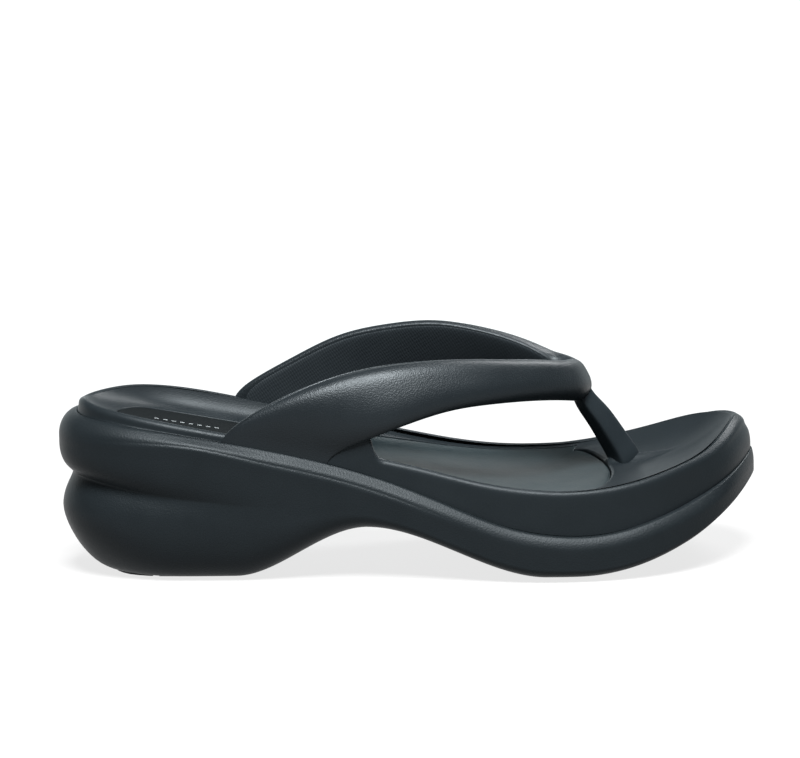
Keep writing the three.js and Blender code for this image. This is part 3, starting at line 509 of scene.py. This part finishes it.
# The rim: share of its width set in from its outer face, and how far below its top. The three heights are for
# the little toe side, where a fine line runs round inside it, for the big toe side, and for the toes.
RIM_PROFILE = (
    (0.985, 0.85, 0.36, 0.37), (0.93, 0.7, 0.33, 0.28), (0.86, 0.18, 0.28, 0.16), (0.74, 0, 0.2, 0.04),
    (0.56, 0.06, 0.08, 0.03), (0.38, 0.36, 0, 0.3), (0.2, 0.9, 0.22, 0.9), (0.07, 1.7, 0.95, 1.7),
    (0, 2.8, 2.8, 2.8),
)
for inward, lined, plain, rounded in RIM_PROFILE:
    swell = TOE_BULGE * toe_share * max(0, 1 - inward / BULGE_WIDTH)
    drop = mix(mix(plain, lined, near_side), rounded, toe_rim) * (1 + TOE_DEEPER * toe_share)
    tray_rings.append(set_in(rim_inset + inward * RIM_WIDTH - swell, rim_z - drop))
wall_foot = seam_z(joint_edge[:, 0]) + SEAM_GAP
for f in (0.3, 0.6, 0.85, 0.97):
    swell = TOE_BULGE * toe_share * (1 - f) * (1 + 2 * f)
    tray_rings.append(set_in(mix(rim_inset, ledge, f) - swell, mix(rim_z - RIM_ROUND, wall_foot, f)))
tray_rings += [joint_ring(f, SEAM_GAP) for f in (1, 0.99, 0.8, 0.45, 0)]
tray = lofted("footbed_tray_shell", refined(tray_rings, RING_STEPS))
tray_skin = foam_material(
    "tray_foam", (0.0048, 0.0066, 0.0078), (0.0083, 0.011, 0.0128),
    roughness=0.42, grain=0.5, grain_size=0.6,
)
tray.data.materials.append(tray_skin)
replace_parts(tray, "footbed_tray")

# ---- Insole ----
# A thin foam sheet, glued flush into a recess of the tray from the heel seat to the ball of the foot. Its
# edge is slightly rounded, so that a fine dark line shows all round it.

EDGE_GAP = 0.28
UNDER_GAP, UNDER_ROUND = 0.2, 0.1
# The rounded edge: how far in from the edge, and how far below the foot surface.
INSOLE_ROUND = ((0.5, 0.03), (0.15, 0.16), (0, 0.5))
insole_edge = insole_at - EDGE_GAP / reach
insole_rings = [bed_ring(f * insole_edge) for f in (0, 0.2, 0.4, 0.6, 0.75, 0.86, 0.94, 0.975)]
for inward, drop in INSOLE_ROUND:
    insole_rings.append(bed_ring(insole_edge - inward / reach, -drop))
insole_rings.append(bed_ring(insole_edge, UNDER_GAP + UNDER_ROUND - INSOLE_THICK))
insole_rings += [bed_ring(f * insole_edge, UNDER_GAP - INSOLE_THICK) for f in (0.98, 0.5, 0)]
insole = lofted("insole_sheet", refined(insole_rings, RING_STEPS))
# The insole's low colour is very dark so that the painted shade on its heel seat can reach it.
insole_skin = foam_material(
    "insole_foam", (0.0009, 0.0016, 0.0019), (0.011, 0.018, 0.0205),
    roughness=0.42, grain=0.5, grain_size=0.8, matt_heel_painted_shade=0.55,
)
insole.data.materials.append(insole_skin)
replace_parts(insole, "insole")

# ---- Heel mark ----
# A mark printed in pale ink on the insole's heel seat, along its middle line. It is one plain row of equal
# short bars.

MARK_START, MARK_PITCH, MARK_COUNT = 36, 3.2, 8
MARK_SIDE, MARK_LONG, MARK_WIDE = 0, 1.6, 1
MARK_LIFT, MARK_THICK = 0.05, 0.08


def mark_bars():
    """The bars as one piece, each laid level at its own height on the heel seat."""
    work = bmesh.new()
    for k in range(MARK_COUNT):
        start = MARK_START + k * MARK_PITCH
        corners = []
        for x, y in ((0, 0), (MARK_LONG, 0), (MARK_LONG, MARK_WIDE), (0, MARK_WIDE)):
            z = float(bed_z(start + x)) + MARK_LIFT
            corners.append(work.verts.new(Vector((start + x, MARK_SIDE + y, z)) * MM + origin))
        face = work.faces.new(corners)
        raised = bmesh.ops.extrude_face_region(work, geom=[face])["geom"]
        lifted = [v for v in raised if isinstance(v, bmesh.types.BMVert)]
        bmesh.ops.translate(work, verts=lifted, vec=(0, 0, MARK_THICK * MM))
    bmesh.ops.recalc_face_normals(work, faces=work.faces)
    mesh = bpy.data.meshes.new("heel_mark")
    work.to_mesh(mesh)
    work.free()
    piece = bpy.data.objects.new("heel_mark", mesh)
    bpy.context.scene.collection.objects.link(piece)
    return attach(piece, "root")


mark = mark_bars()
ink = foam_material(
    "pale_ink", (0.1, 0.11, 0.115), (0.15, 0.165, 0.17),
    roughness=0.5, grain=0.2, grain_size=0.5,
)
mark.data.materials.append(ink)

# ---- Treads ----
# Two pads of grooved black rubber, glued into recesses of the wedge's underside: one under the heel and one
# under the ball of the foot. They stay as the CAD made them.

rubber = foam_material(
    "tread_rubber", (0.012, 0.013, 0.014), (0.02, 0.021, 0.022),
    roughness=0.62, grain=0.6, grain_size=0.5,
)
for node in ("heel_tread", "ball_tread"):
    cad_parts[node].data.materials.clear()
    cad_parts[node].data.materials.append(rubber)

# ---- Toe post washer ----
# A flat ring of moulded plastic under the footbed, between the tray and the post's button foot. It spreads
# the post's pull, and stays as the CAD made it.

washer_plastic = foam_material(
    "washer_plastic", (0.03, 0.033, 0.036), (0.04, 0.043, 0.047),
    roughness=0.4, grain=0.1, grain_size=0.4,
)
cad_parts["toe_post_washer"].data.materials.clear()
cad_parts["toe_post_washer"].data.materials.append(washer_plastic)

# ---- Strap bands ----
# Two padded foam bands. Each comes up out of a slot in the seam, where its foot is glued, lies against the
# tray's wall, and crosses the instep to the knuckle over the toe post. The outer face is crowned and the edge
# near the ankle is crisp.

# One place along the band in each row: its rear upper edge and its front lower edge, each as a share of the
# length, a share of the way from the post out to the tray's wall, and a height.
LITTLE_TOE_BAND = (
    ((0.228, 1, 45.7), (0.382, 1, 36.9)), ((0.243, 1, 54.2), (0.39, 1, 45.2)),
    ((0.28, 1, 62.1), (0.418, 1, 49.7)), ((0.342, 0.95, 70.3), (0.455, 1, 53.7)),
    ((0.418, 0.84, 76.4), (0.497, 0.955, 57.7)), ((0.492, 0.715, 78.8), (0.557, 0.81, 61.6)),
    ((0.568, 0.56, 78.8), (0.615, 0.65, 62.7)), ((0.637, 0.405, 77.3), (0.672, 0.46, 62)),
    ((0.69, 0.235, 75.4), (0.72, 0.275, 60.3)), ((0.716, 0.1, 73.4), (0.747, 0.13, 58.6)),
    ((0.724, 0, 72.3), (0.758, 0, 57.9)),
)
BIG_TOE_BAND = (
    ((0.242, 1, 45.7), (0.39, 1, 36.8)), ((0.247, 1, 57.3), (0.398, 1, 44.8)),
    ((0.279, 1, 65.3), (0.424, 1, 50)), ((0.337, 0.99, 73.5), (0.458, 1, 54.4)),
    ((0.405, 0.9, 81.6), (0.498, 0.94, 59.2)), ((0.477, 0.72, 85.7), (0.553, 0.76, 63.5)),
    ((0.546, 0.52, 87), (0.607, 0.58, 65.6)), ((0.614, 0.34, 84.3), (0.66, 0.41, 65.3)),
    ((0.672, 0.19, 79.6), (0.708, 0.25, 62.6)), ((0.711, 0.08, 74.4), (0.744, 0.11, 59.6)),
    ((0.724, 0, 72.3), (0.758, 0, 57.9)),
)
# Half thickness along a band, away from the foot and towards it.
band_out = spline([(0, 0.5), (0.12, 0.6), (0.28, 3.4), (0.5, 5), (0.8, 5.4), (1, 6.6)])
band_in = spline([(0, 3.6), (0.12, 3.8), (0.3, 3.8), (0.6, 3.4), (1, 3)])
BAND_STATIONS = 110
SECTION_POINTS = 72
BAND_END_GAP = 0.3
SQUARE_START = 0.86
# The band's section: across from its lower edge (-1) to its upper edge (1), and out (+) or in (-).
SECTION = (
    (1, -0.4), (1.008, -0.15), (0.996, 0.08), (0.963, 0.12), (0.93, 0.28), (0.84, 0.6), (0.66, 0.87),
    (0.38, 1), (0.03, 1.0), (-0.36, 0.93), (-0.68, 0.74), (-0.9, 0.42), (-1, 0), (-0.94, -0.45),
    (-0.74, -0.8), (-0.34, -0.92), (0.2, -0.9), (0.66, -0.82), (0.9, -0.72), (0.97, -0.6),
)


def band_section():
    """The section's outline, closed and evenly divided."""
    ring = np.array(SECTION)
    knots = np.arange(-WRAP, len(ring) + WRAP + 1)
    wrapped = ring[knots % len(ring)]
    t = np.linspace(0, len(ring), SECTION_POINTS, endpoint=False)
    across = spline(np.column_stack([knots, wrapped[:, 0]]))
    depth = spline(np.column_stack([knots, wrapped[:, 1]]))
    return across(t), depth(t)


def band_frames(rows, side, t):
    """The middle of the band at each t, half the way up to its upper edge, and the way out from the foot."""
    knots = np.linspace(0, 1, len(rows))
    end = POST_SIDE + side * BAND_END_GAP / 2
    rails = []
    for which in (0, 1):
        places = np.array([row[which] for row in rows])
        x = places[:, 0] * length
        wall = side_edge(x, side) - side * np.interp(x, np.sort(edge_x), ledge[np.argsort(edge_x)])
        points = np.column_stack([x, mix(end, wall, places[:, 1]), places[:, 2]])
        rails.append([spline(np.column_stack([knots, points[:, axis]])) for axis in range(3)])

    def at(t):
        upper, lower = [np.column_stack([curve(t) for curve in rail]) for rail in rails]
        return (upper + lower) / 2, (upper - lower) / 2

    middle, half = at(t)
    ahead = at(np.minimum(t + NUDGE, 1))[0] - at(np.maximum(t - NUDGE, 0))[0]
    ahead /= np.linalg.norm(ahead, axis=1, keepdims=True)
    square = smooth((t - SQUARE_START) / (1 - SQUARE_START))[:, None]
    ahead = mix(ahead, np.array([0, -side, 0]), square)
    out = np.cross(ahead, half) * -side
    return middle, half, out / np.linalg.norm(out, axis=1, keepdims=True)


def band(name, rows, side):
    """One band, from its foot in the seam to its square end at the knuckle."""
    t = np.linspace(0, 1, BAND_STATIONS)
    middle, half, out = band_frames(rows, side, t)
    across, depth = band_section()
    bulge = np.where(depth[None, :] > 0, band_out(t)[:, None], band_in(t)[:, None]) * depth[None, :]
    rings = middle[:, None] + half[:, None] * across[None, :, None] + out[:, None] * bulge[:, :, None]
    piece = lofted(name, rings)
    piece.data.materials.append(band_skin)
    return piece


band_skin = foam_material(
    "band_foam", (0.0042, 0.0058, 0.007), (0.0073, 0.0098, 0.0116),
    roughness=0.4, grain=1, grain_size=0.5, gloss=0.17, relief=0.13,
)
little_band = band("little_toe_side_strap", LITTLE_TOE_BAND, -1)
big_band = band("big_toe_side_strap", BIG_TOE_BAND, 1)
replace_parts(little_band, "little_toe_side_band")
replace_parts(big_band, "big_toe_side_band")

# ---- Linings ----
# A thin soft lining with a fine hatched face, bonded to the inner face of each band. It stops just short of
# the band's two edges and both its ends.

LINING_SPAN = (0.04, 0.96)
LINING_SHARE = 0.93
LINING_STATIONS, LINING_POINTS = 80, 24
# How far its face stands out from the band, how far its edge and its back are sunk into the band's foam.
LINING_LIFT, LINING_EDGE_SUNK, LINING_BACK_SUNK = 0.22, 0.05, 0.5
# The powers that round its ends and its edges, and the least width of its ends.
END_POWER, EDGE_POWER, END_LEAST = 12, 10, 0.02
HATCH_TURN = math.radians(32)
HATCH_RELIEF = 0.14


def lining_cloth():
    """A matt cloth with two crossing sets of fine slanted ribs."""
    material = bpy.data.materials.new("hatched_lining")
    material.use_nodes = True
    tree = material.node_tree
    skin = tree.nodes["Principled BSDF"]
    shade = Shade(tree)
    place = shade.node("ShaderNodeTexCoord", output="Object")
    turned = shade.node("ShaderNodeMapping", None, {"Vector": place, "Rotation": (0, HATCH_TURN, 0)})
    fine = {"Vector": turned, "Scale": 340, "Distortion": 2.5, "Detail": 2}
    ribs = shade.node("ShaderNodeTexWave", {"bands_direction": "X"}, fine)
    coarse = {"Vector": turned, "Scale": 230, "Distortion": 3, "Detail": 2}
    cross = shade.node("ShaderNodeTexWave", {"bands_direction": "Z"}, coarse)
    cloud = shade.node("ShaderNodeTexNoise", None, {"Vector": place, "Scale": 90, "Detail": 4})
    weave = ribs * 0.65 + cross * 0.35
    tone = weave * 0.5 + cloud * 0.5
    colour = blended(shade, (0.005, 0.007, 0.0086), (0.0105, 0.0138, 0.0162), tone)
    tree.links.new(colour.socket, skin.inputs["Base Color"])
    tree.links.new((0.62 + (cloud - 0.5) * 0.15).socket, skin.inputs["Roughness"])
    relief = {"Strength": 0.5, "Distance": HATCH_RELIEF * MM, "Height": weave}
    bump = shade.node("ShaderNodeBump", None, relief)
    tree.links.new(bump.socket, skin.inputs["Normal"])
    skin.inputs["Specular IOR Level"].default_value = 0.15
    skin.inputs["Specular Tint"].default_value = SKIN_TINT
    return material


def lining(name, rows, side):
    """One lining, laid along its band's inner face."""
    t = np.linspace(*LINING_SPAN, LINING_STATIONS)
    middle, half, out = band_frames(rows, side, t)
    from_middle = np.abs(2 * (t - t[0]) / (t[-1] - t[0]) - 1)
    taper = np.sqrt(np.maximum(END_LEAST, 1 - from_middle ** END_POWER))
    across = np.linspace(-LINING_SHARE, LINING_SHARE, LINING_POINTS)
    section_across, section_depth = band_section()
    inner = section_depth < 0
    order = np.argsort(section_across[inner])
    depth = -np.interp(across, section_across[inner][order], section_depth[inner][order])
    edge_round = np.sqrt(np.maximum(0, 1 - np.abs(across / LINING_SHARE) ** EDGE_POWER))
    face_lift = LINING_LIFT * edge_round - LINING_EDGE_SUNK
    back_lift = np.full_like(edge_round, -LINING_BACK_SUNK)
    faces = []
    for lift in (face_lift, back_lift):
        sunk = -(band_in(t)[:, None] * depth[None, :] + lift[None, :])
        placed = half[:, None] * (across[None, :] * taper[:, None])[:, :, None]
        faces.append(middle[:, None] + placed + out[:, None] * sunk[:, :, None])
    rings = np.concatenate([faces[0], faces[1][:, ::-1]], axis=1)
    piece = lofted(name, rings)
    piece.data.materials.append(lining_skin)
    return piece


lining_skin = lining_cloth()
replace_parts(lining("little_toe_side_strap_lining", LITTLE_TOE_BAND, -1), "little_toe_side_lining")
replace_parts(lining("big_toe_side_strap_lining", BIG_TOE_BAND, 1), "big_toe_side_lining")

# ---- Toe post ----
# A squarish foam post that runs from the knuckle down through the footbed, where a button foot and a washer
# hold it. It leans forward going down, and its front face is turned towards the big toe side.

# Down the post: forward of its foot as a share of the length, past its side, height, half depth, half width.
POST_PATH = np.array([
    (-0.076, 0, 68.5, 2.2, 2.4), (-0.07, 0, 63.5, 2.8, 2.8), (-0.061, 0, 57.7, 3.5, 3.3),
    (-0.044, 0.3, 51.6, 4.1, 3.8), (-0.028, 0.7, 45.1, 4.4, 4.1), (-0.014, 1, 39, 4.7, 4.4),
    (-0.006, 1, 35, 5, 4.7), (-0.002, 1, 31, 5.2, 4.8),
])
POST_STATIONS, POST_POINTS = 40, 56
POST_TURN = math.radians(-38)
POST_SQUARENESS = 5.5
STEM, BUTTON = 3.6, 6.5
STEM_OVERLAP, WASHER_GAP, BUTTON_BEVEL, BUTTON_DEPTH = 1, 0.3, 0.2, 2.1
washer_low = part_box("toe_post_washer")[0]


def post_rings():
    """The squarish rings of the post, from the knuckle down, then the round ones of its stem and button."""
    knots = np.linspace(0, 1, len(POST_PATH))
    curves = [spline(np.column_stack([knots, column])) for column in POST_PATH.T]
    t = np.linspace(0, 1, POST_STATIONS)
    forward, past, z, deep, wide = [curve(t) for curve in curves]
    centre = np.column_stack([POST_X + forward * length, POST_SIDE + past, z])
    down = np.gradient(centre, axis=0)
    down /= np.linalg.norm(down, axis=1, keepdims=True)
    ahead = -np.cross((0, 1, 0), down)
    side = np.cross(down, ahead)
    angle = np.linspace(0, 2 * math.pi, POST_POINTS, endpoint=False)
    power = 2 / POST_SQUARENESS
    a = np.sign(np.cos(angle)) * np.abs(np.cos(angle)) ** power
    b = np.sign(np.sin(angle)) * np.abs(np.sin(angle)) ** power
    a, b = a[None] * deep[:, None], b[None] * wide[:, None]
    turned_a = a * math.cos(POST_TURN) - b * math.sin(POST_TURN)
    turned_b = a * math.sin(POST_TURN) + b * math.cos(POST_TURN)
    rings = centre[:, None] + ahead[:, None] * turned_a[:, :, None] + side[:, None] * turned_b[:, :, None]
    foot = centre[-1]
    stem_foot = washer_low.z / MM - WASHER_GAP
    stem = [(STEM, foot[2] - STEM_OVERLAP), (STEM, stem_foot)]
    button = [(BUTTON, stem_foot - BUTTON_BEVEL), (BUTTON, stem_foot - BUTTON_DEPTH)]
    handed = np.sign(rings[-1, POST_POINTS // 4, 1] - foot[1])
    round_ring = np.column_stack([np.cos(angle), np.sin(angle) * handed])
    below = []
    for radius, height in stem + button:
        below.append(np.column_stack([foot[:2] + radius * round_ring, np.full(POST_POINTS, height)]))
    return np.concatenate([rings, below])


post = lofted("toe_post_foam", post_rings())
# The post's foam colour is paler than the bands'. This is painted light against the shade it stands in under
# the knuckle.
post_skin = foam_material(
    "post_foam", (0.006, 0.0085, 0.0102), (0.0105, 0.0142, 0.0168),
    roughness=0.45, grain=0.6, grain_size=0.9,
)
post.data.materials.append(post_skin)
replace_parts(post, "toe_post")

# ---- Studio ----
# A plain pale floor and a low pale wall behind it, a broad soft light high on the camera's side, and a weaker
# one behind. The camera looks at the little toe side from slightly above.

LENS = 155.8
DISTANCE, ELEVATION, ROLL = 1.3, math.radians(10), math.radians(-1.25)
AIM = Vector((-0.0023, 0, 0.0691))
FLOOR_SIDE, FLOOR_FRONT, WALL_Y, WALL_HEIGHT = 6, -4, 1.6, 0.75
FLOOR_TONE, FLOOR_GLOW = 0.08, 0.68
GLOW_FROM, GLOW_TO, FAR_GLOW = 0.1, 1.1, (0.89, 0.98, 1)
WORLD_STRENGTH = 0.12


def pale_sheet(name, corners, glow):
    """A pale sheet that glows more and more towards the wall, so that it stays pale to the horizon."""
    mesh = bpy.data.meshes.new(name)
    mesh.from_pydata(corners, [], [(0, 1, 2, 3)])
    sheet = bpy.data.objects.new(name, mesh)
    bpy.context.scene.collection.objects.link(sheet)
    material = bpy.data.materials.new(name)
    material.use_nodes = True
    tree = material.node_tree
    paint = tree.nodes["Principled BSDF"]
    shade = Shade(tree)
    place = shade.node("ShaderNodeTexCoord", output="Object")
    behind = shade.node("ShaderNodeSeparateXYZ", None, {"Vector": place}, output="Y")
    ends = {"Value": behind, "From Min": GLOW_FROM, "From Max": GLOW_TO}
    away = shade.node("ShaderNodeMapRange", {"interpolation_type": "SMOOTHSTEP"}, ends)
    tree.links.new(blended(shade, [FLOOR_GLOW] * 3, FAR_GLOW, away).socket, paint.inputs["Emission Color"])
    paint.inputs["Emission Strength"].default_value = glow
    paint.inputs["Base Color"].default_value = (*[FLOOR_TONE] * 3, 1)
    paint.inputs["Roughness"].default_value = 0.9
    paint.inputs["Specular IOR Level"].default_value = 0.1
    mesh.materials.append(material)


def soft_light(name, place, size, power):
    """A rectangular light that faces the middle of the floor."""
    lamp = bpy.data.lights.new(name, "AREA")
    lamp.shape = "RECTANGLE"
    lamp.size, lamp.size_y = size
    lamp.energy = power
    light = bpy.data.objects.new(name, lamp)
    light.location = place
    light.rotation_euler = Vector(place).to_track_quat("Z", "Y").to_euler()
    bpy.context.scene.collection.objects.link(light)


wall_foot_line = [(FLOOR_SIDE, WALL_Y, 0), (-FLOOR_SIDE, WALL_Y, 0)]
wall_top_line = [(FLOOR_SIDE, WALL_Y, WALL_HEIGHT), (-FLOOR_SIDE, WALL_Y, WALL_HEIGHT)]
pale_sheet("floor", [(-FLOOR_SIDE, FLOOR_FRONT, 0), (FLOOR_SIDE, FLOOR_FRONT, 0), *wall_foot_line], glow=1.14)
pale_sheet("backdrop", [*wall_foot_line[::-1], *wall_top_line], glow=1.16)
soft_light("key", place=(-0.02, -0.62, 1.3), size=(0.6, 0.5), power=84)
soft_light("back", place=(0.7, 0.7, 1.1), size=(0.7, 0.6), power=24)

world = bpy.data.worlds.new("studio")
world.use_nodes = True
world.node_tree.nodes["Background"].inputs["Color"].default_value = (1, 1, 1, 1)
world.node_tree.nodes["Background"].inputs["Strength"].default_value = WORLD_STRENGTH
bpy.context.scene.world = world
bpy.context.scene.view_settings.view_transform = "Standard"

lens = bpy.data.cameras.new("camera")
lens.lens = LENS
camera = bpy.data.objects.new("camera", lens)
camera.location = AIM + DISTANCE * Vector((0, -math.cos(ELEVATION), math.sin(ELEVATION)))
camera.rotation_mode = "ZYX"
camera.rotation_euler = (math.radians(90) - ELEVATION, 0, ROLL)
bpy.context.scene.collection.objects.link(camera)
bpy.context.scene.camera = camera
